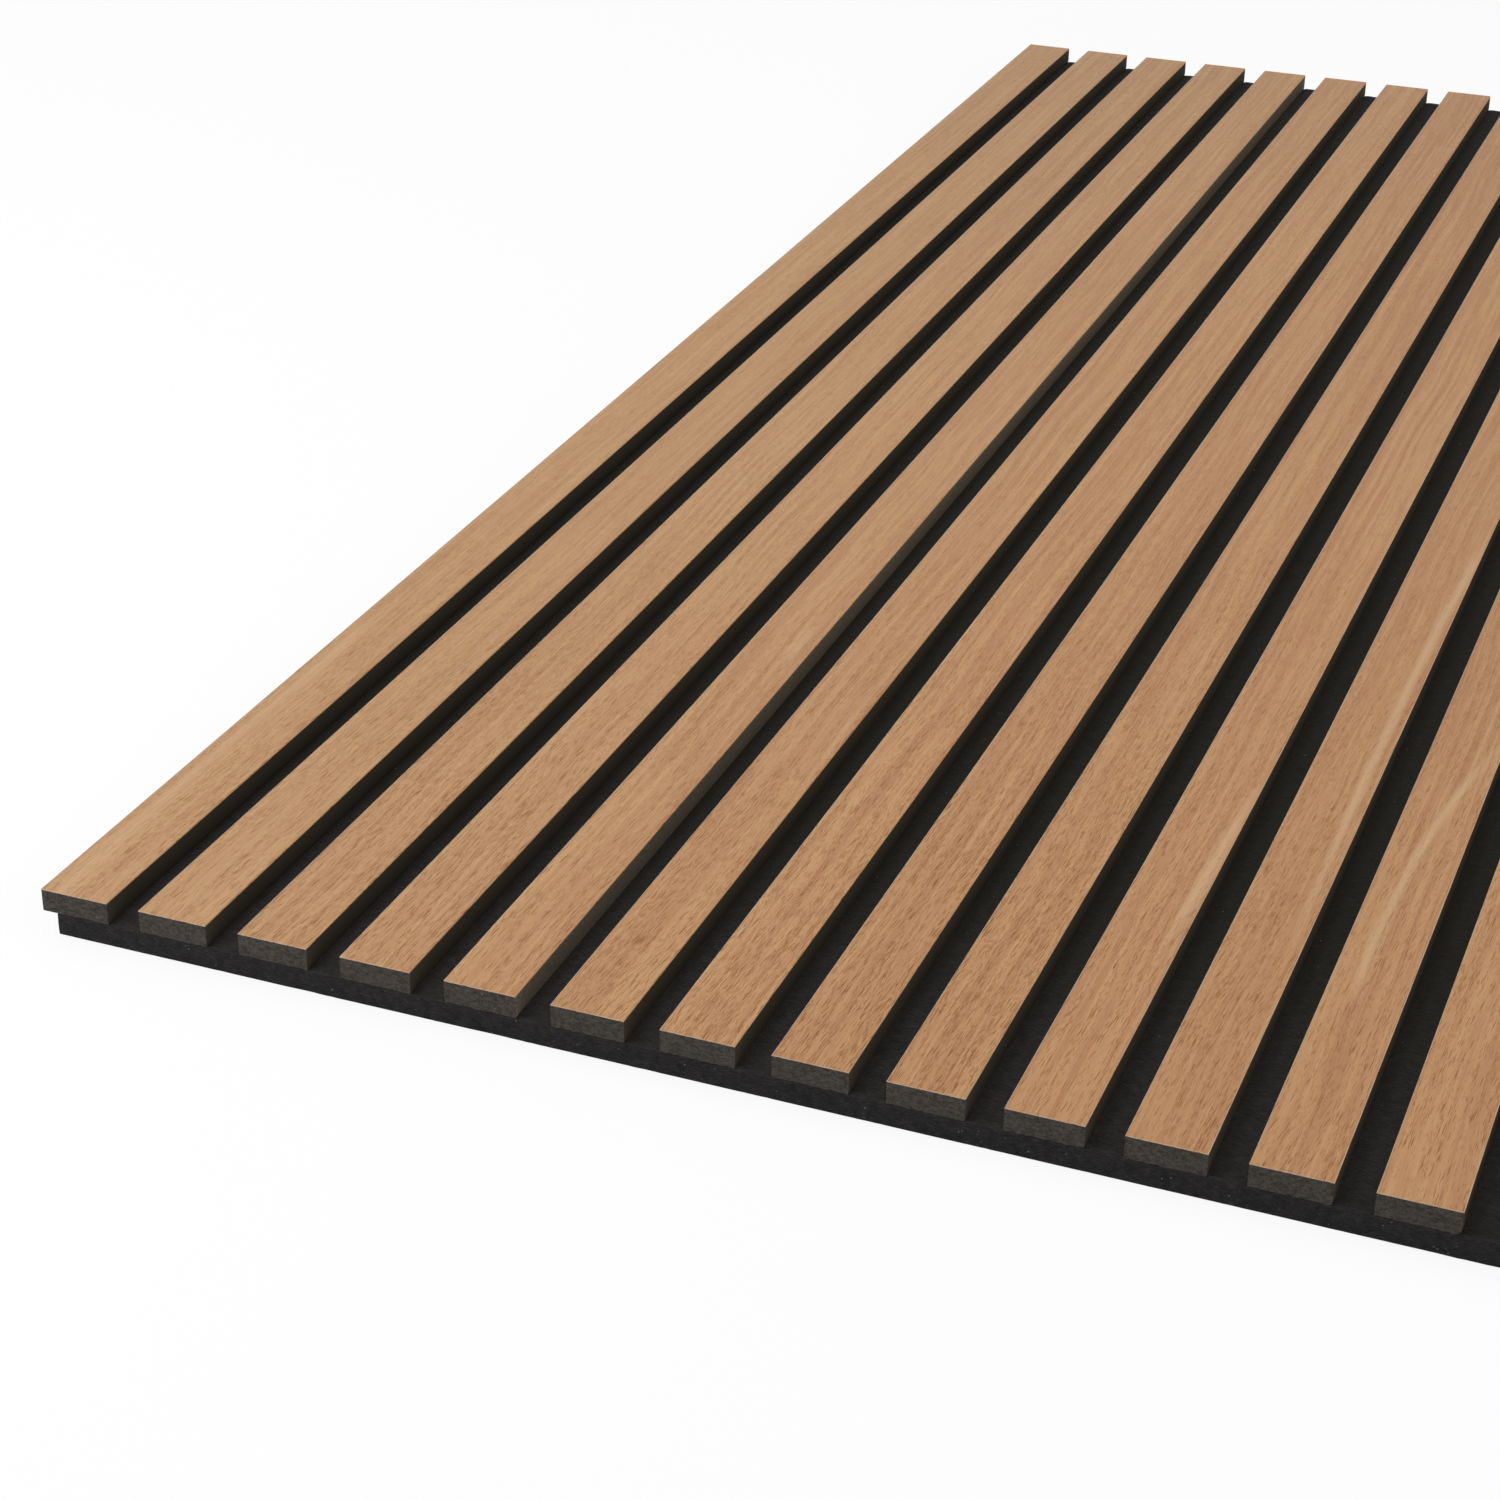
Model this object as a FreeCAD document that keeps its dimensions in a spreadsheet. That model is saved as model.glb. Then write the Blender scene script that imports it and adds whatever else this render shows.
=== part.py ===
# Acoustic slat wall panel: veneered slats with dark fibreboard cores, glued side by side on a felt board.
# The first slat overhangs the felt on the left and the felt runs on past the last slat on the right,
# so the seam between two panels is hidden under a slat.
# Frame: origin at the centre of the felt's back face, +X across the slats, +Y along them,
# +Z out of the wall. Lengths are in millimetres.

import FreeCAD
import Part
import Sketcher

import os

SIZES = {
    "panel_length": 1200.0,
    "slat_count": 15,
    "slat_width": 27.0,
    "slat_gap": 13.0,
    "core_thickness": 8.5,
    "core_lower_radius": 0.5,
    "veneer_thickness": 0.5,
    "veneer_edge_radius": 0.3,
    "felt_thickness": 9.0,
    "felt_edge_radius": 0.8,
    "first_slat_overhang": 5.5,
}

# What follows from the driving sizes: one slat and one gap make the pitch, the felt is one pitch wide for
# each slat, and the first slat starts outside the felt's left edge.
DERIVED = {
    "slat_pitch": "slat_width + slat_gap",
    "felt_width": "slat_count * slat_pitch",
    "first_slat_centre": "slat_width / 2 - felt_width / 2 - first_slat_overhang",
    "veneer_level": "felt_thickness + core_thickness",
}


def make_sheet(doc):
    """Puts the driving sizes, and the formulas that follow from them, in a spreadsheet with aliases."""
    sheet = doc.addObject("Spreadsheet::Sheet", "Sizes")
    cells = {name: str(value) for name, value in SIZES.items()}
    cells.update({name: "=" + formula for name, formula in DERIVED.items()})
    for row, (name, content) in enumerate(cells.items(), start=1):
        sheet.set(f"A{row}", name)
        sheet.setAlias(f"B{row}", name)
        sheet.set(f"B{row}", content)
    doc.recompute()
    return sheet


def origin_plane(body, role):
    """One of a body's own base planes, such as XY_Plane."""
    return next(plane for plane in body.Origin.OriginFeatures if plane.Role == role)


def rectangle_sketch(body, plane, width, height, centred):
    """A rectangle on a base plane, its sides bound to two cells: about the origin, or standing on it."""
    sketch = body.newObject("Sketcher::SketchObject", body.Name + "_section")
    sketch.AttachmentSupport = [(origin_plane(body, plane), "")]
    sketch.MapMode = "FlatFace"
    half, whole = 1.0, 2.0  # a rough square to start from: the constraints give its place and size
    corners = [FreeCAD.Vector(x, y, 0) for x, y in ((-half, 0), (half, 0), (half, whole), (-half, whole))]
    for start, end in zip(corners, corners[1:] + corners[:1]):
        sketch.addGeometry(Part.LineSegment(start, end))
    bottom, right, top, left = range(4)
    first, last = 1, 2
    origin = (-1, 1)
    for side, following in ((bottom, right), (right, top), (top, left), (left, bottom)):
        sketch.addConstraint(Sketcher.Constraint("Coincident", side, last, following, first))
    for side in (bottom, top):
        sketch.addConstraint(Sketcher.Constraint("Horizontal", side))
    for side in (right, left):
        sketch.addConstraint(Sketcher.Constraint("Vertical", side))
    opposite = (top, first) if centred else (bottom, last)
    sketch.addConstraint(Sketcher.Constraint("Symmetric", bottom, first, *opposite, *origin))
    across = sketch.addConstraint(Sketcher.Constraint("DistanceX", bottom, first, bottom, last, whole))
    upward = sketch.addConstraint(Sketcher.Constraint("DistanceY", right, first, right, last, whole))
    sketch.setExpression(f"Constraints[{across}]", f"Sizes.{width}")
    sketch.setExpression(f"Constraints[{upward}]", f"Sizes.{height}")
    return sketch


def pad(body, sketch, length, both_ways=False):
    """The sketch pulled out to a length from the sheet, to one side of its plane or evenly to both."""
    feature = body.newObject("PartDesign::Pad", body.Name + "_pad")
    feature.Profile = sketch
    feature.SideType = "Symmetric" if both_ways else "One side"
    feature.setExpression("Length", f"Sizes.{length}")
    body.Document.recompute()
    return feature


def round_edges(body, base, chosen, radius):
    """Rounds the edges of the base feature for which chosen(edge) is true."""
    names = [f"Edge{i}" for i, edge in enumerate(base.Shape.Edges, start=1) if chosen(edge)]
    feature = body.newObject("PartDesign::Fillet", body.Name + "_rounding")
    feature.Base = (base, names)
    feature.setExpression("Radius", f"Sizes.{radius}")


def runs_along(edge, axis):
    """True if a straight edge lies along that unit vector."""
    rounding_error = 1e-6
    return axis.cross(edge.tangentAt(edge.FirstParameter)).Length < rounding_error


def make_felt(doc):
    """The felt board, cut square, with the soft edges that cut felt has all round its two faces."""
    body = doc.addObject("PartDesign::Body", "felt_backing")
    outline = rectangle_sketch(body, "XY_Plane", "felt_width", "panel_length", centred=True)
    board = pad(body, outline, "felt_thickness")
    upright = FreeCAD.Vector(0, 0, 1)
    round_edges(body, board, lambda edge: not runs_along(edge, upright), "felt_edge_radius")
    return body


def make_strip(doc, name, index, thickness, level, radius, upper):
    """One strip of a slat, swept along the panel, with its two long upper or lower edges rounded."""
    body = doc.addObject("PartDesign::Body", name)
    section = rectangle_sketch(body, "XZ_Plane", "slat_width", thickness, centred=False)
    strip = pad(body, section, "panel_length", both_ways=True)
    along = FreeCAD.Vector(0, 1, 0)
    middle = strip.Shape.BoundBox.Center.z
    round_edges(
        body,
        strip,
        lambda edge: runs_along(edge, along) and (edge.CenterOfMass.z > middle) == upper,
        radius,
    )
    body.setExpression("Placement.Base.x", f"Sizes.first_slat_centre + {index} * Sizes.slat_pitch")
    body.setExpression("Placement.Base.z", f"Sizes.{level}")
    return body


def make_slat(doc, index):
    """A slat: a fibreboard core on the felt, and the wood veneer on its face with both arrises eased."""
    number = f"{index + 1:02d}"
    core = make_strip(
        doc,
        f"slat_core_{number}",
        index,
        thickness="core_thickness",
        level="felt_thickness",
        radius="core_lower_radius",
        upper=False,
    )
    veneer = make_strip(
        doc,
        f"slat_veneer_{number}",
        index,
        thickness="veneer_thickness",
        level="veneer_level",
        radius="veneer_edge_radius",
        upper=True,
    )
    return [core, veneer]


def check(doc, pieces):
    """Stops before anything is written if a feature failed or a piece is not one sound solid."""
    failed = [o.Name for o in doc.Objects if {"Invalid", "Error"} & set(o.State)]
    unsound = [
        piece.Label
        for piece in pieces
        if piece.Shape.isNull() or not piece.Shape.isValid() or len(piece.Shape.Solids) != 1
    ]
    if failed or unsound:
        raise RuntimeError(f"failed features {failed}, unsound pieces {unsound}")


def build():
    """Makes the document, checks it and writes each piece to its own file."""
    doc = FreeCAD.newDocument("slat_panel")
    sheet = make_sheet(doc)
    pieces = [make_felt(doc)]
    for index in range(int(sheet.slat_count)):
        pieces += make_slat(doc, index)
    doc.recompute()
    check(doc, pieces)
    os.makedirs("parts", exist_ok=True)
    for piece in pieces:
        piece.Shape.exportStep(f"parts/{piece.Label}.step")
    print(f"{len(pieces)} pieces written")


build()
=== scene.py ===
# Acoustic slat wall panel, lying face up on its felt back.
# Metres throughout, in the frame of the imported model: +X across the slats, +Y along them,
# +Z out of the wall.
import math
import random

import bpy
from mathutils import Matrix, Vector, noise


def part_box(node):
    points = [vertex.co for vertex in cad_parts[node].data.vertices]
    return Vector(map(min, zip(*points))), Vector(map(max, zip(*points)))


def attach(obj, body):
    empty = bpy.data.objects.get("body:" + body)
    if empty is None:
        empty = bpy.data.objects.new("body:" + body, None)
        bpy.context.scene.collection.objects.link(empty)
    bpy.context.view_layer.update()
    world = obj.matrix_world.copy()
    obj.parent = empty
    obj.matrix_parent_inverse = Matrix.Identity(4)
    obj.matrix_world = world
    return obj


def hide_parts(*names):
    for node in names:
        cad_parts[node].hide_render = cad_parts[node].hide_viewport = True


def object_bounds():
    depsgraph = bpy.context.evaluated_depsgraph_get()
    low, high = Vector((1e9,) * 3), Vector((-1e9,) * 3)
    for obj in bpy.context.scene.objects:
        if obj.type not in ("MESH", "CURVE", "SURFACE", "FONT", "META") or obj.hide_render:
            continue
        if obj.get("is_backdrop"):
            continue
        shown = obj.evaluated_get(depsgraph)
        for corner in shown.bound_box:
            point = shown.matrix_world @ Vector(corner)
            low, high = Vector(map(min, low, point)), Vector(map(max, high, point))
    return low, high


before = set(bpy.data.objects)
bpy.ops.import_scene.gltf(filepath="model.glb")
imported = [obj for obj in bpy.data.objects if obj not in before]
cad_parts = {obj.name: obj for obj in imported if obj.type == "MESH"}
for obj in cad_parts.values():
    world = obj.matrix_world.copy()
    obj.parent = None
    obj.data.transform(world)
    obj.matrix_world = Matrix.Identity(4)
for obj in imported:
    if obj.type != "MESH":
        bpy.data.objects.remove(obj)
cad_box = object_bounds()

# Felt backing
# A board of pressed polyester felt, cut to size, which every slat is glued to. The cut leaves its
# edges soft and a little uneven. Between the slats the nap stands slightly higher than under them,
# where glue holds it down.
MM = 0.001
felt_low, felt_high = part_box("felt_backing")
felt_edge_radius = 0.8 * MM
felt_nap = 0.25 * MM
felt_unevenness = 0.18 * MM
felt_wave_length = 7 * MM
felt_step_under_slats = 9 * MM
felt_step_in_gaps = 1.9 * MM
felt_step_along = 8 * MM
felt_step_near_ends = 2 * MM
felt_rows_near_ends = 19
felt_step_upward = 1.2 * MM
slat_numbers = sorted(name[-2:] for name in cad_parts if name.startswith("slat_core_"))
core_boxes = {number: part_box("slat_core_" + number) for number in slat_numbers}


class Wire:
    """One socket in a finish's node tree: arithmetic adds Math nodes, and node() adds any other kind."""

    def __init__(self, tree, socket=None):
        self.tree = tree
        self.socket = socket

    def node(self, kind, settings, inputs, output=0):
        made = self.tree.nodes.new("ShaderNode" + kind)
        for name, value in settings.items():
            setattr(made, name, value)
        for name, value in inputs.items():
            if isinstance(value, Wire):
                self.tree.links.new(value.socket, made.inputs[name])
            else:
                made.inputs[name].default_value = value
        return Wire(self.tree, made.outputs[output] if made.outputs else None)

    def other(self, output):
        """Another output of the node that this wire comes from."""
        return Wire(self.tree, self.socket.node.outputs[output])

    def math(self, operation, first, second=0.0):
        return self.node("Math", {"operation": operation}, {0: first, 1: second})

    def __add__(self, other):
        return self.math("ADD", self, other)

    def __sub__(self, other):
        return self.math("SUBTRACT", self, other)

    def __rsub__(self, other):
        return self.math("SUBTRACT", other, self)

    def __mul__(self, other):
        return self.math("MULTIPLY", self, other)

    def __truediv__(self, other):
        return self.math("DIVIDE", self, other)

    def __gt__(self, other):
        return self.math("GREATER_THAN", self, other)

    def __lt__(self, other):
        return self.math("LESS_THAN", self, other)

    def __abs__(self):
        return self.math("ABSOLUTE", self)

    def __round__(self):
        return self.math("ROUND", self)

    __radd__ = __add__
    __rmul__ = __mul__


def start_finish(name):
    """A new material with an empty node tree, and the wire that its nodes are added through."""
    finish = bpy.data.materials.new(name)
    finish.use_nodes = True
    finish.node_tree.nodes.clear()
    return finish, Wire(finish.node_tree)


def parts_of(vector):
    """The three numbers of a vector."""
    separate = vector.node("SeparateXYZ", {}, {"Vector": vector})
    return [separate.other(axis) for axis in "XYZ"]


def stretched(vector, *lengths):
    """The vector in units of these three lengths, so that a noise of scale 1 has patches of that size."""
    scale = [1 / length for length in lengths]
    return vector.node("VectorMath", {"operation": "MULTIPLY"}, {0: vector, 1: scale})


def cloud(vector, detail=2.0, roughness=0.5):
    """Soft noise between 0 and 1, in patches about one unit across."""
    inputs = {"Vector": vector, "Scale": 1.0, "Detail": detail, "Roughness": roughness}
    return vector.node("TexNoise", {}, inputs)


def rise(value, low, high):
    """0 below low, 1 above high, and a smooth slope between them."""
    inputs = {"Value": value, "From Min": low, "From Max": high}
    return value.node("MapRange", {"interpolation_type": "SMOOTHSTEP"}, inputs)


def blend(share, first, second):
    """The first colour where share is 0, the second where it is 1."""
    first, second = [c if isinstance(c, Wire) else (*c, 1.0) for c in (first, second)]
    factor, colour_a, colour_b, colour_out = 0, 6, 7, 2
    inputs = {factor: share, colour_a: first, colour_b: second}
    return share.node("Mix", {"data_type": "RGBA"}, inputs, colour_out)


def raised(height, strength, depth):
    """The surface's normal over a relief of this depth."""
    return height.node("Bump", {}, {"Height": height, "Strength": strength, "Distance": depth})


def end_finish(wire, inputs):
    """Ends a finish in a Principled shader with these values or wires on its sockets."""
    shader = wire.node("BsdfPrincipled", {}, inputs)
    wire.node("OutputMaterial", {}, {"Surface": shader})


def felt_finish():
    """Black felt: paler and darker fibres, most of them lying across the board.

    The nap on its face is paler than the cut edges, partly a painted highlight that grows as a face
    turns upward. Away from the ends a painted shade darkens the face to brown.
    """
    dark = (0.0080, 0.0072, 0.0074)
    light = (0.0512, 0.0467, 0.0484)
    nap_and_highlight = (0.0640, 0.0575, 0.0500)
    painted_shade_brown = (0.0240, 0.0210, 0.0120)
    fibre_size = (2.8 * MM, 0.40 * MM, 0.26 * MM)
    slanting_size = (2.5 * MM, 0.3 * MM, 0.3 * MM)
    slant = (0.3, 0.4, 0.9)
    mottle_size = (4 * MM, 4 * MM, 4 * MM)
    face_up = 0.7
    nap_and_highlight_from = 12 * MM
    painted_shade_start = 30 * MM
    painted_shade_full = 170 * MM
    finish, wire = start_finish("black_felt")
    here = wire.node("TexCoord", {}, {}, "Object")
    across = cloud(stretched(here, *fibre_size), roughness=0.6)
    turn = {"Vector": here, "Rotation": slant}
    turned = here.node("VectorRotate", {"rotation_type": "EULER_XYZ"}, turn)
    slanting = cloud(stretched(turned, *slanting_size), roughness=0.6)
    mottle = cloud(stretched(here, *mottle_size), detail=3.0, roughness=0.6)
    fibres = rise(across, 0.36, 0.72) * 0.6 + rise(slanting, 0.40, 0.72) * 0.4
    upward = parts_of(wire.node("NewGeometry", {}, {}, "True Normal"))[2]
    from_end = felt_high.y - abs(parts_of(here)[1])
    # Upward faces take the paler nap. Part of it is a painted highlight: the share grows as a face turns
    # upward, so the upper arris is painted lighter.
    nap_and_highlight_share = rise(upward, 0.0, face_up) * (0.45 + 0.55 * rise(from_end, 0.0, nap_and_highlight_from))
    # Painted shade: away from the ends the upward faces are darkened to brown.
    painted_shade_share = (upward > face_up) * rise(from_end, painted_shade_start, painted_shade_full) * 0.55
    matted = blend(fibres * (0.35 + 0.95 * rise(mottle, 0.15, 0.85)), dark, light)
    surface = blend(nap_and_highlight_share * (0.1 + 0.3 * mottle + 0.5 * fibres), matted, nap_and_highlight)
    end_finish(
        wire,
        {
            "Base Color": blend(painted_shade_share, surface, painted_shade_brown),
            "Roughness": 0.95,
            "Specular IOR Level": 0.15,
            "Normal": raised(fibres, strength=0.8, depth=0.2 * MM),
        },
    )
    return finish


def lattice_box(name, lines, form):
    """A closed box of quads on these grid lines along X, Y and Z, with each grid point moved by form."""
    places = {}
    points = []

    def corner(key):
        if key not in places:
            places[key] = len(points)
            points.append(form(Vector([line[i] for line, i in zip(lines, key)])))
        return places[key]

    faces = []
    for axis in range(3):
        first, second = (axis + 1) % 3, (axis + 2) % 3
        for side in (0, len(lines[axis]) - 1):
            for p in range(len(lines[first]) - 1):
                for q in range(len(lines[second]) - 1):
                    quad = []
                    for dp, dq in ((0, 0), (1, 0), (1, 1), (0, 1)):
                        key = [side, side, side]
                        key[first] = p + dp
                        key[second] = q + dq
                        quad.append(corner(tuple(key)))
                    faces.append(quad if side else quad[::-1])
    mesh = bpy.data.meshes.new(name)
    mesh.from_pydata(points, [], faces)
    mesh.polygons.foreach_set("use_smooth", [True] * len(faces))
    mesh.set_sharp_from_angle(angle=math.radians(40))
    return mesh


def fit_piece(mesh, finish, slot, *nodes):
    """Puts a mesh on the panel, in place of these CAD nodes if any are named."""
    piece = bpy.data.objects.new(mesh.name, mesh)
    bpy.context.scene.collection.objects.link(piece)
    mesh.materials.append(finish)
    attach(piece, "root")
    if nodes:
        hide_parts(*nodes)


def clamp(value, low, high):
    return max(low, min(high, value))


def spread(start, end, step):
    """Even grid lines from start to end, at most about a step apart."""
    count = max(1, round((end - start) / step))
    return [start + (end - start) * i / count for i in range(count + 1)]


def closer_at_ends(start, end, distances, step):
    """Grid lines from start to end: at these distances from both ends, and evenly spread between them."""
    middle = spread(start + distances[-1], end - distances[-1], step)
    return [start + d for d in distances[:-1]] + middle + [end - d for d in reversed(distances[:-1])]


def in_rounding(radius):
    """Distances from an edge at which a rounding of this radius needs a grid line."""
    return [radius * share for share in (0.0, 0.25, 0.5, 0.75, 1.0)]


def under_slat(x):
    return any(low.x <= x <= high.x for low, high in core_boxes.values())


def felt_form(point):
    """A point of the felt: its edges rounded, its faces uneven, its nap raised between the slats."""
    limits = zip(point, felt_low, felt_high)
    inner = Vector([clamp(p, a + felt_edge_radius, b - felt_edge_radius) for p, a, b in limits])
    outward = (point - inner).normalized()
    fading, doubling, octaves = 1.0, 2.0, 3
    lift = felt_unevenness * noise.fractal(point / felt_wave_length, fading, doubling, octaves)
    if outward.z < -0.5:
        lift = -abs(lift)
    if outward.z > 0.5:
        lift = 0.0 if under_slat(point.x) else felt_nap + lift
    return inner + outward * (felt_edge_radius + lift)


def felt_mesh():
    """The board, with grid lines along every slat's foot and closer ones near the two cut ends."""
    edge = in_rounding(felt_edge_radius)
    left, right = felt_low.x + felt_edge_radius, felt_high.x - felt_edge_radius
    feet = sorted(corner.x for pair in core_boxes.values() for corner in pair)
    feet = [left] + [x for x in feet if left < x < right] + [right]
    across = [felt_low.x + d for d in edge[:-1]]
    for a, b in zip(feet, feet[1:]):
        step = felt_step_under_slats if under_slat((a + b) / 2) else felt_step_in_gaps
        across += spread(a, b, step)[:-1]
    across += [felt_high.x - d for d in reversed(edge)]
    rows = range(1, felt_rows_near_ends + 1)
    near_ends = edge + [felt_edge_radius + felt_step_near_ends * i for i in rows]
    along = closer_at_ends(felt_low.y, felt_high.y, near_ends, felt_step_along)
    upward = closer_at_ends(felt_low.z, felt_high.z, edge, felt_step_upward)
    return lattice_box("felt_board", (across, along, upward), felt_form)


felt = felt_finish()
fit_piece(felt_mesh(), felt, "felt", "felt_backing")

# Slat cores
# Strips of through-dyed charcoal fibreboard, sawn to length after veneering and glued to the felt. The
# saw leaves the ends raw and mottled, and three lower corners at the near end are knocked round. The
# long sides are stained black, apart from the right side of one slat that the stain missed.
core_lower_radius = 0.5 * MM
core_chipping = 0.18 * MM
unstained_slat = "05"
knocked_corners = {"10": 1.3 * MM, "12": 1.2 * MM, "13": 2.2 * MM}
knocked_depth = 2.5 * MM
crumb_size = 1.3 * MM
crumble_reach = 1.0 * MM
sawn_end_rows = [0.0, 0.4 * MM, 1.0 * MM, 2.5 * MM]
slat_row_step = 60 * MM
slat_grid_step = 0.7 * MM
first_low, first_high = core_boxes[slat_numbers[0]]
slat_width = first_high.x - first_low.x


def scattered(vector, size, share):
    """Round flecks in that share of cells of this size, and each fleck's own chance."""
    inputs = {"Vector": stretched(vector, size, size, size), "Scale": 1.0}
    distance = vector.node("TexVoronoi", {}, inputs, "Distance")
    kept, reach, chance = parts_of(distance.other("Color"))
    return (1 - rise(distance, 0.1, 0.2 + 0.25 * reach)) * (share > kept), chance


def core_finish():
    """Charcoal fibreboard: matted fibre bundles on the sawn ends, black stain along the sides, painted
    light on the unstained side.
    """
    dark = (0.0183, 0.0156, 0.0126)
    light = (0.0775, 0.0666, 0.0548)
    planed = (0.1700, 0.1410, 0.0985)
    chip = (0.1700, 0.1000, 0.0560)
    stain = (0.0405, 0.0315, 0.0205)
    patch_size = (1.8 * MM, 1.8 * MM, 1.1 * MM)
    bundle_size = (0.65 * MM, 0.65 * MM, 0.4 * MM)
    chip_cell = 1.6 * MM
    chip_share = 0.06
    side_on = 0.6
    foot_height = 7 * MM
    paler_from = 100 * MM
    palest_from = 500 * MM
    finish, wire = start_finish("charcoal_fibreboard")
    here = wire.node("TexCoord", {}, {}, "Object")
    x, y, z = parts_of(here)
    patches = cloud(stretched(here, *patch_size), detail=4.0, roughness=0.65)
    bundles = cloud(stretched(here, *bundle_size), roughness=0.6)
    matted = rise(patches * 0.6 + bundles * 0.4, 0.30, 0.70)
    raw = blend(matted, dark, light)
    chips, chance = scattered(here, chip_cell, chip_share)
    raw = blend(chips * chance, raw, chip)
    to_right = parts_of(wire.node("NewGeometry", {}, {}, "True Normal"))[0]
    low, high = core_boxes[unstained_slat]
    elsewhere = abs(x - (low.x + high.x) / 2) > 0.6 * slat_width
    missed = (to_right > side_on) * (1 - elsewhere)
    stained = (abs(to_right) > side_on) * (1 - missed)
    # The one unstained side gets painted light toward its foot, where the gap shades it, and a painted
    # sheen further in.
    at_foot = rise(z, low.z + foot_height, low.z)
    painted_sheen_further_in = rise(y, low.y + paler_from, low.y + palest_from)
    bare_and_painted_light = missed * (0.23 + 0.5 * matted + 0.35 * at_foot + 0.2 * painted_sheen_further_in)
    board = blend(bare_and_painted_light, raw, planed)
    end_finish(
        wire,
        {
            "Base Color": blend(stained * (0.6 + 0.5 * patches), board, stain),
            "Roughness": 0.9,
            "Specular IOR Level": 0.2,
            "Normal": raised(bundles, strength=0.6, depth=0.15 * MM),
        },
    )
    return finish


def rounded_off(offset):
    """Draws the square corner that this offset lies in together to a quarter of a circle."""
    return offset.normalized() * max(abs(offset.x), abs(offset.y))


def core_mesh(number):
    """One core: lower edges rounded, both sawn ends a little rough and crumbled along the bottom."""
    low, high = core_boxes[number]
    edge = in_rounding(core_lower_radius)

    def form(point):
        radius = core_lower_radius
        if number in knocked_corners and point.x > (low.x + high.x) / 2:
            knocked = clamp(1 - (point.y - low.y) / knocked_depth, 0, 1)
            radius += (knocked_corners[number] - core_lower_radius) * knocked
        inner = Vector((clamp(point.x, low.x + radius, high.x - radius), low.z + radius))
        offset = Vector((point.x, point.z)) - inner
        shaped = point.copy()
        if offset.y < 0:
            shaped.x, shaped.z = inner + rounded_off(offset)
        from_end = min(point.y - low.y, high.y - point.y)
        at_end = clamp(1 - from_end / crumble_reach, 0, 1)
        at_foot = 0.0
        if point.x > felt_low.x:
            at_foot = clamp(1 - (point.z - low.z) / crumble_reach, 0, 1)
        crumble = max(0, core_chipping * at_end * (0.5 + noise.noise(point / crumb_size)))
        inward = 1 if point.y < 0 else -1
        shaped.y += inward * crumble * (0.3 + 0.7 * at_foot)
        shaped.z += crumble * at_foot
        return shaped

    across = closer_at_ends(low.x, high.x, edge, slat_grid_step)
    along = closer_at_ends(low.y, high.y, sawn_end_rows, slat_row_step)
    upward = [low.z + d for d in edge[:-1]]
    upward += spread(low.z + core_lower_radius, high.z, slat_grid_step)
    return lattice_box(f"slat_{number}_core", (across, along, upward), form)


fibreboard = core_finish()
for number in slat_numbers:
    fit_piece(core_mesh(number), fibreboard, "fibreboard_core", "slat_core_" + number)

# Slat veneers
# Strips of light brown open-pored wood, sliced thin, glued to the cores and lacquered matt. Sanding
# eased the two long arrises, and the saw left small nicks across the ends. Each strip comes from
# another place in the sheet.
veneer_edge_radius = 0.3 * MM
veneer_nick = 0.5 * MM
nick_length = 1.0 * MM
nick_reach = 1.0 * MM
nick_threshold = 0.35
slat_pitch = core_boxes[slat_numbers[1]][0].x - first_low.x
first_middle = (first_low.x + first_high.x) / 2
# Pale streaks in the wood, in mm: slat, distance from its left edge and from its near end at the top
# of the streak's bow, how far the bow falls in 100 mm, where the streak starts, over what length it
# comes up, where it ends, how wide it is and how strong.
pale_streaks = [
    ("01", 6.5, 60, 0.0, -30, 30, 260, 6.0, 0.36),
    ("05", 20.0, 290, 0.0, 255, 40, 330, 4.0, 0.62),
    ("10", 23.0, 110, 1.6, 95, 60, 260, 4.0, 0.62),
    ("11", 21.5, 280, 0.9, 110, 150, 520, 3.6, 0.62),
    ("12", 9.2, 150, 6.2, 98, 30, 320, 3.4, 0.62),
]
streak_fading = 60


def strokes(grain, width, length, share):
    """Short strokes along the grain, in that share of cells of this width and length."""
    inputs = {"Vector": stretched(grain, width, length, length), "Scale": 1.0}
    distance = grain.node("TexVoronoi", {"voronoi_dimensions": "2D"}, inputs, "Distance")
    kept, size, darkness = parts_of(distance.other("Color"))
    inside = 1 - rise(distance / (0.20 + 0.26 * size), 0.55, 1.0)
    return inside * (share > kept) * (0.5 + 0.6 * darkness)


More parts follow.
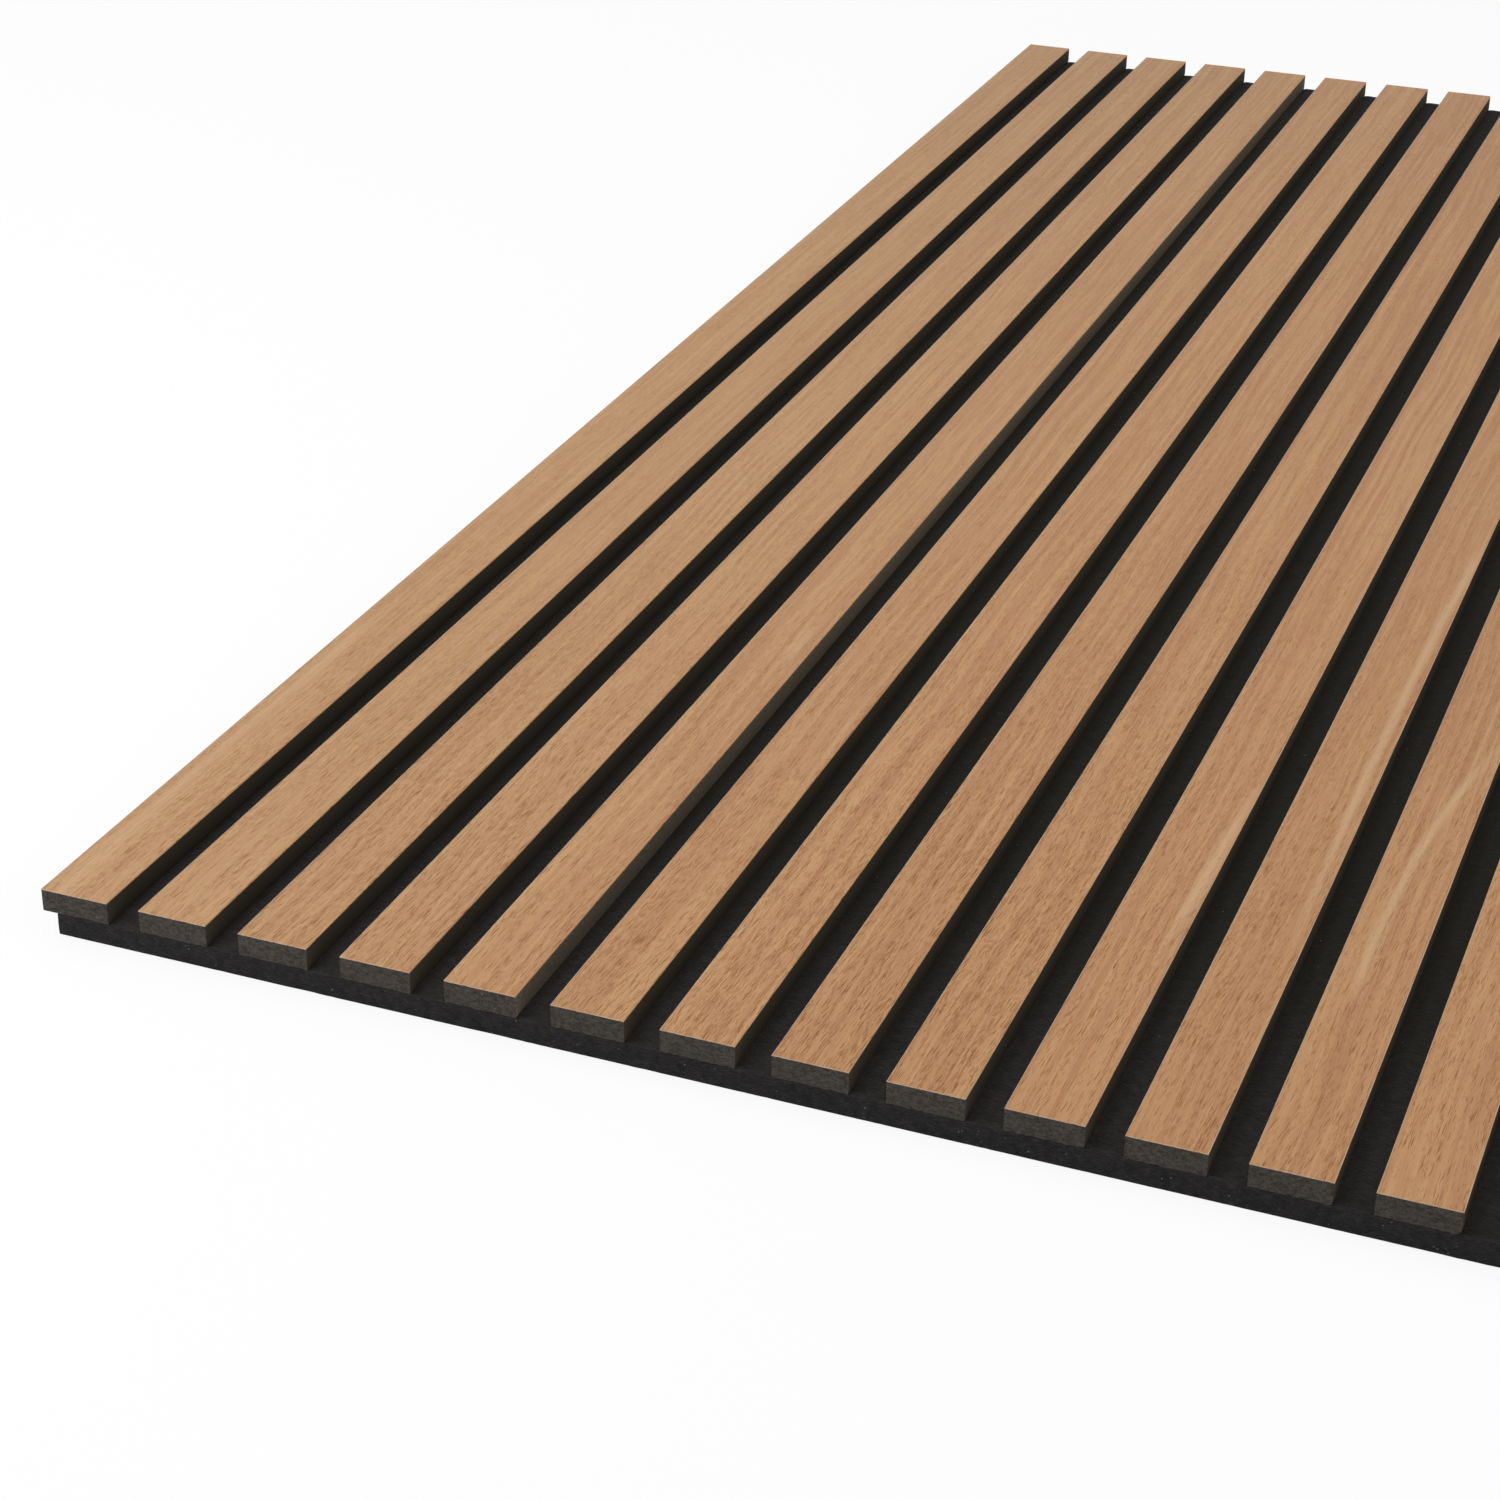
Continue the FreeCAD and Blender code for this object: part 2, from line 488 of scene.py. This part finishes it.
def veneer_finish():
    """Open-pored wood: soft tone bands along the slat, fine growth lines and short dark pores.

    Its pores close toward the left and the far end. On the left it is yellower, a painted sheen, and on
    the right smoother.
    """
    golden = (0.550, 0.306, 0.136)
    rose = (0.456, 0.221, 0.100)
    pale = (0.630, 0.405, 0.215)
    sapwood = (0.640, 0.425, 0.240)
    straw_sheen = (0.470, 0.314, 0.163)
    brown = (0.330, 0.142, 0.045)
    pore = (0.215, 0.070, 0.003)
    cut_edge = (0.530, 0.370, 0.250)
    arris_highlight = (0.720, 0.640, 0.560)
    flutter_size = (9 * MM, 45 * MM, 1.0)
    band_size = (2.8 * MM, 320 * MM, 0.1)
    mottle_size = (2.2 * MM, 24 * MM, 0.1)
    line_size = (0.8 * MM, 110 * MM, 0.1)
    fibre_size = (0.20 * MM, 4.0 * MM, 0.1)
    patch_size = (2.6 * MM, 70 * MM, 0.1)
    highlight_breakup_size = (3 * MM, 14 * MM, 1.0)
    sawn_size = (1.5 * MM, 1.5 * MM, 1.5 * MM)
    large_pore = (0.34 * MM, 11 * MM)
    small_pore = (0.24 * MM, 4.5 * MM)
    wander_length = 160 * MM
    wander_reach = 5 * MM
    flutter_reach = 1.5 * MM
    sheet_length = 9
    sloping = 0.2
    upper = 0.1
    end_on = 0.7
    finish, wire = start_finish("open_pored_veneer")
    here = wire.node("TexCoord", {}, {}, "Object")
    x, y = parts_of(here)[:2]
    slat = round((x - first_middle) / slat_pitch)
    chance = wire.node("TexWhiteNoise", {"noise_dimensions": "1D"}, {"W": slat + 3.7}, "Color")
    shift, slope, tone = parts_of(chance)
    drift = {"W": y / wander_length + slat * 7.3, "Scale": 1.0, "Detail": 1.0}
    wander = wire.node("TexNoise", {"noise_dimensions": "1D"}, drift) - 0.5
    flutter = cloud(stretched(here, *flutter_size), detail=1.0) - 0.5
    grain_x = x + wander * wander_reach + flutter * flutter_reach + y * (slope - 0.5) * 0.02
    grain_y = y + shift * sheet_length
    grain = wire.node("CombineXYZ", {}, {"X": grain_x, "Y": grain_y, "Z": slat * 0.37})
    slanting_x = grain_x - y * (0.015 + 0.065 * tone)
    slanting = wire.node("CombineXYZ", {}, {"X": slanting_x, "Y": grain_y})
    bands = cloud(stretched(grain, *band_size), detail=3.0, roughness=0.6)
    mottle = cloud(stretched(grain, *mottle_size))
    lines = cloud(stretched(grain, *line_size))
    fibre = cloud(stretched(slanting, *fibre_size), roughness=0.6)
    patches = cloud(stretched(grain, *patch_size))
    openness = 1 - 0.62 * rise(y - 0.5 * x, -640 * MM, 40 * MM)
    smoother = rise(x, 10 * MM, 110 * MM)
    crowd = (0.16 + 0.52 * rise(patches, 0.36, 0.62)) * (0.7 + 0.6 * shift) * (1 - 0.3 * smoother)
    large_pores = strokes(slanting, *large_pore, crowd)
    small_pores = strokes(slanting, *small_pore, crowd)
    pores = large_pores.math("MAXIMUM", large_pores, small_pores * 0.75)
    pores = pores * openness * (1.05 - 0.15 * smoother)
    wood = blend(rise(bands * 0.7 + mottle * 0.3, 0.36, 0.64), golden, rose)
    wood = blend(tone * 0.14, wood, brown)
    # Painted sheen: the wood is blended to a paler yellow toward the left.
    wood = blend(rise(x, 40 * MM, -310 * MM) * 0.30, wood, straw_sheen)
    wood = blend(rise(lines, 0.50, 0.76) * 0.32, wood, pale)
    wood = blend(rise(lines, 0.48, 0.26) * 0.30, wood, brown)
    for number, from_left, top, fall, start, coming, end, width, share in pale_streaks:
        low = core_boxes[number][0]
        bow = (y - (low.y + top * MM)) / (100 * MM)
        away = abs(x + flutter * MM - bow * bow * (fall * MM) - (low.x + from_left * MM))
        begun = rise(y, low.y + start * MM, low.y + (start + coming) * MM)
        over = rise(y, low.y + (end - streak_fading) * MM, low.y + end * MM)
        streak = (1 - rise(away, 0.0, width * MM)) * begun * (1 - over)
        pores = pores * (1 - 0.7 * streak)
        wood = blend(streak * share, wood, sapwood)
    wood = blend(rise(fibre, 0.44, 0.78) * openness * (0.44 - 0.22 * smoother), wood, brown)
    wood = blend(rise(fibre, 0.46, 0.20) * openness * (0.26 - 0.13 * smoother), wood, pale)
    wood = blend(pores, wood, pore)
    across, along, upward = parts_of(wire.node("NewGeometry", {}, {}, "True Normal"))
    # Painted highlight along the upper arrises: strong on the right arrises and growing toward the right,
    # faint on the left arrises toward the left, broken up by noise.
    highlight_breakup = rise(cloud(stretched(here, *highlight_breakup_size)), 0.30, 0.62)
    paler_right = 0.15 + 0.65 * rise(x, -100 * MM, 200 * MM)
    right_arris = (across > sloping) * (upward > upper) * paler_right
    paler_left = 0.35 - 0.28 * rise(x, 50 * MM, 200 * MM)
    left_arris = (across < -sloping) * (upward > upper) * paler_left
    wood = blend((right_arris + left_arris) * (0.35 + 0.65 * highlight_breakup), wood, arris_highlight)
    sawn = rise(cloud(stretched(here, *sawn_size)), 0.34, 0.60)
    wood = blend((abs(along) > end_on) * (0.2 + 0.8 * sawn), wood, cut_edge)
    end_finish(
        wire,
        {
            "Base Color": wood,
            "Roughness": 0.55 + 0.35 * pores,
            "Specular IOR Level": 0.3,
            "Normal": raised(fibre * 0.3 - pores, strength=0.5, depth=0.12 * MM),
        },
    )
    return finish


def veneer_mesh(number):
    """One strip of veneer: long upper arrises eased, small nicks where the saw went through."""
    low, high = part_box("slat_veneer_" + number)
    edge = in_rounding(veneer_edge_radius)

    def form(point):
        inner_x = clamp(point.x, low.x + veneer_edge_radius, high.x - veneer_edge_radius)
        inner = Vector((inner_x, high.z - veneer_edge_radius))
        offset = Vector((point.x, point.z)) - inner
        shaped = point.copy()
        if offset.y > 0:
            shaped.x, shaped.z = inner + rounded_off(offset)
        from_end = min(point.y - low.y, high.y - point.y)
        at_end = clamp(1 - from_end / nick_reach, 0, 1)
        tearing = noise.noise(Vector((point.x / nick_length, point.y, 0)))
        nick = max(0, tearing - nick_threshold) * veneer_nick * at_end
        shaped.y += nick if point.y < 0 else -nick
        return shaped

    across = closer_at_ends(low.x, high.x, edge, slat_grid_step)
    along = closer_at_ends(low.y, high.y, sawn_end_rows, slat_row_step)
    upward = [low.z] + [high.z - d for d in reversed(edge)]
    return lattice_box(f"slat_{number}_veneer", (across, along, upward), form)


veneer = veneer_finish()
for number in slat_numbers:
    fit_piece(veneer_mesh(number), veneer, "wood_veneer", "slat_veneer_" + number)

# Loose fibres, lint and sawdust
# Single polyester fibres that lie loose on the felt where it shows, pale lint caught on it, and
# slivers of wood from sawing the slats. They only cling to the nap.
draw = random.Random(27)
fibre_strands = {
    "lengths": (2.5 * MM, 6.5 * MM),
    "thickness": 0.07 * MM,
    "heading_spread": 0.5,
    "bundle": 1,
    "steps": 5,
}
lint_strands = {
    "lengths": (0.4 * MM, 0.8 * MM),
    "thickness": 0.10 * MM,
    "heading_spread": 1.5,
    "bundle": 4,
    "steps": 4,
}
sawdust_strands = {
    "lengths": (0.5 * MM, 1.3 * MM),
    "thickness": 0.16 * MM,
    "heading_spread": 1.5,
    "bundle": 1,
    "steps": 3,
}
turning_spread = 1.2
crossing_turn = 2
along_x, along_y, along_z = Vector((1, 0, 0)), Vector((0, 1, 0)), Vector((0, 0, 1))
rights = [core_boxes[number][1].x for number in slat_numbers]
lefts = [core_boxes[number][0].x for number in slat_numbers[1:]] + [felt_high.x - felt_edge_radius]


def bare_felt():
    """The fields where felt shows: low and high corner, the way most fibres lie, and the way out."""
    a = felt_low + Vector((1, 1, 1)) * felt_edge_radius
    b = felt_high - Vector((1, 1, 1)) * felt_edge_radius
    floors = [
        (Vector((right, a.y, felt_high.z)), Vector((left, b.y, felt_high.z)), along_x, along_z)
        for right, left in zip(rights, lefts)
    ]
    edges = [
        (Vector((a.x, felt_low.y, a.z)), Vector((b.x, felt_low.y, b.z)), along_x, -along_y),
        (Vector((a.x, felt_high.y, a.z)), Vector((b.x, felt_high.y, b.z)), along_x, along_y),
        (Vector((felt_low.x, a.y, a.z)), Vector((felt_low.x, b.y, b.z)), along_y, -along_x),
        (Vector((felt_high.x, a.y, a.z)), Vector((felt_high.x, b.y, b.z)), along_y, along_x),
    ]
    return floors, edges


def lying_path(field, length, heading, turning, count):
    """Points of a strand on a field of felt: it starts anywhere there and bends as it goes."""
    low, high, lie, outward = field
    sideways = outward.cross(lie)
    path = [Vector([draw.uniform(a, b) for a, b in zip(low, high)])]
    for i in range(1, count):
        angle = heading + turning * i / count
        ahead = lie * math.cos(angle) + sideways * math.sin(angle)
        path.append(path[-1] + ahead * length / (count - 1))
    back = Vector((0, 0, 0))
    for axis in range(3):
        if high[axis] - low[axis] > length:
            places = [point[axis] for point in path]
            back[axis] = clamp(0, low[axis] - min(places), high[axis] - max(places))
    return [felt_form(point + back) for point in path]


def add_strand(points, faces, path, thickness, outward):
    """Adds a closed strand along a path: a tip at each end, and a triangle round each point between."""
    first = len(points)
    points.append(path[0])
    for before, here, after in zip(path, path[1:], path[2:]):
        side = (after - before).cross(outward).normalized() * thickness / 2
        points.extend((here + side, here + outward * thickness, here - side))
    points.append(path[-1])
    last = len(points) - 1
    for i in range(3):
        j = (i + 1) % 3
        faces.append((first, first + 1 + i, first + 1 + j))
        for ring in range(first + 1, last - 3, 3):
            faces.append((ring + j, ring + i, ring + 3 + i, ring + 3 + j))
        faces.append((last, last - 3 + j, last - 3 + i))


def strand_mesh(name, counts, lengths, thickness, heading_spread, bundle, steps):
    """Strands strewn over fields of felt, so many bundles of them in each field."""
    points, faces = [], []
    for field, count in counts:
        outward = field[3]
        for _ in range(count):
            heading = draw.gauss(0, heading_spread)
            length = draw.uniform(*lengths)
            path = lying_path(field, length, heading, draw.gauss(0, turning_spread), steps)
            add_strand(points, faces, path, thickness, outward)
            start = path[0]
            for _ in range(bundle - 1):
                turn = Matrix.Rotation(draw.uniform(-crossing_turn, crossing_turn), 3, outward)
                crossing = [start + turn @ (point - start) * draw.uniform(0.5, 1) for point in path]
                add_strand(points, faces, crossing, thickness, outward)
    mesh = bpy.data.meshes.new(name)
    mesh.from_pydata(points, [], faces)
    mesh.polygons.foreach_set("use_smooth", [True] * len(faces))
    return mesh


def strand_finish(name, dark, light, roughness):
    """One colour of strand, paler and darker from place to place."""
    finish, wire = start_finish(name)
    here = wire.node("TexCoord", {}, {}, "Object")
    shade = rise(cloud(stretched(here, 3 * MM, 3 * MM, 3 * MM), 2.0), 0.35, 0.65)
    colour = blend(shade, dark, light)
    end_finish(wire, {"Base Color": colour, "Roughness": roughness, "Specular IOR Level": 0.2})
    return finish


floors, edges = bare_felt()
fibre_finish = strand_finish("felt_fibre", (0.024, 0.024, 0.026), (0.066, 0.064, 0.068), roughness=0.8)
lint_finish = strand_finish("lint", (0.16, 0.16, 0.17), (0.42, 0.42, 0.43), roughness=0.9)
sawdust_finish = strand_finish("sawdust", (0.120, 0.060, 0.028), (0.330, 0.190, 0.095), roughness=0.8)
floor_counts = [(field, 560) for field in floors]
edge_counts = list(zip(edges, (1800, 900, 1100, 1100)))
lint_counts = [(field, 11) for field in floors] + list(zip(edges, (44, 22, 28, 28)))
sawdust_counts = [(field, 9) for field in floors] + list(zip(edges, (30, 15, 10, 10)))
fit_piece(strand_mesh("felt_floor_fibres", floor_counts, **fibre_strands), fibre_finish, "felt")
fit_piece(strand_mesh("felt_edge_fibres", edge_counts, **fibre_strands), fibre_finish, "felt")
fit_piece(strand_mesh("felt_lint", lint_counts, **lint_strands), lint_finish, "felt")
fit_piece(strand_mesh("felt_sawdust", sawdust_counts, **sawdust_strands), sawdust_finish, "wood_veneer")

# Floor, light and camera
# A plain white floor that fades into a white surround, an even sky, and soft lamps: two long ones on
# the left, the second nearly overhead, a square one on the right and a small one in front. The camera
# looks down along the slats.
sky_level = 0.53
floor_size = 14.0
floor_white_share = 0.88
floor_fade_start = 1.0
floor_fade_end = 2.5
floor_colour = (0.95, 0.95, 0.95, 1.0)
white = (1.0, 1.0, 1.0, 1.0)


def seen_white(wire):
    """1 where a ray from the camera, a reflection or clear material arrives, 0 for light on its way."""
    direct = wire.node("LightPath", {}, {}, "Is Camera Ray")
    glossy = direct.other("Is Glossy Ray")
    clear = direct.other("Is Transmission Ray")
    return direct.math("MAXIMUM", direct, glossy.math("MAXIMUM", glossy, clear))


floor_mesh = bpy.data.meshes.new("studio_floor")
half = floor_size / 2
floor_corners = [(x * half, y * half, felt_low.z) for x, y in ((-1, -1), (1, -1), (1, 1), (-1, 1))]
floor_mesh.from_pydata(floor_corners, [], [(0, 1, 2, 3)])
floor_finish, wire = start_finish("studio_white")
matt = wire.node("BsdfDiffuse", {}, {"Color": floor_colour})
glow = wire.node("Emission", {}, {"Color": white, "Strength": 1.0})
here = wire.node("TexCoord", {}, {}, "Object")
distance = here.node("VectorMath", {"operation": "LENGTH"}, {0: here}, "Value")
far_off = rise(distance, floor_fade_start, floor_fade_end)
white_share = floor_white_share + (1 - floor_white_share) * far_off
mixed = wire.node("MixShader", {}, {0: seen_white(wire) * white_share, 1: matt, 2: glow})
wire.node("OutputMaterial", {}, {"Surface": mixed})
floor_mesh.materials.append(floor_finish)
floor = bpy.data.objects.new("studio_floor", floor_mesh)
bpy.context.scene.collection.objects.link(floor)
floor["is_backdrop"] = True

world = bpy.data.worlds.new("studio_sky")
world.use_nodes = True
world.node_tree.nodes.clear()
wire = Wire(world.node_tree)
level = sky_level + (1 - sky_level) * seen_white(wire)
sky = wire.node("Background", {}, {"Color": white, "Strength": level})
wire.node("OutputWorld", {}, {"Surface": sky})
bpy.context.scene.world = world


def soft_lamp(name, place, target, width, height, energy):
    """A broad lamp, its width level, facing a target."""
    lamp = bpy.data.lights.new(name, "AREA")
    lamp.shape = "RECTANGLE"
    lamp.size = width
    lamp.size_y = height
    lamp.energy = energy
    lamp_object = bpy.data.objects.new(name, lamp)
    lamp_object.location = place
    lamp_object.visible_camera = False
    facing = Vector(target) - Vector(place)
    lamp_object.rotation_euler = facing.to_track_quat("-Z", "Y").to_euler()
    bpy.context.scene.collection.objects.link(lamp_object)


soft_lamp("left_lamp", (-1.5, -0.75, 1.2), (-0.1, -0.75, 0), width=2.4, height=0.8, energy=14.0)
soft_lamp("high_lamp", (-0.6, -0.6, 1.25), (0, -0.6, 0), width=1.8, height=0.35, energy=3.3)
soft_lamp("right_lamp", (2.4, -0.6, 1.2), (0, -0.5, 0), width=1.6, height=1.6, energy=11.3)
soft_lamp("front_lamp", (-0.95, -1.35, 0.22), (-0.1, -0.6, 0), width=0.6, height=0.3, energy=2.8)

camera_place = Vector((0.2804, -1.4057, 0.5926))
azimuth, elevation, roll = (math.radians(angle) for angle in (21.328, 28.156, -0.557))
forward = math.cos(elevation)
ahead = Vector((-math.sin(azimuth) * forward, math.cos(azimuth) * forward, -math.sin(elevation)))
level_right = ahead.cross(Vector((0, 0, 1))).normalized()
level_up = level_right.cross(ahead)
right = level_right * math.cos(roll) - level_up * math.sin(roll)
up = level_right * math.sin(roll) + level_up * math.cos(roll)
turned = Matrix((right, up, -ahead)).transposed().to_4x4()
camera = bpy.data.cameras.new("camera")
camera.sensor_width = 36.0
camera.lens = 75.313
camera_object = bpy.data.objects.new("camera", camera)
camera_object.matrix_world = Matrix.Translation(camera_place) @ turned
bpy.context.scene.collection.objects.link(camera_object)
bpy.context.scene.camera = camera_object
bpy.context.scene.view_settings.view_transform = "Standard"

boxes = {"cad": cad_box, "visual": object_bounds()}
{name: [list(corner) for corner in box] for name, box in boxes.items()}
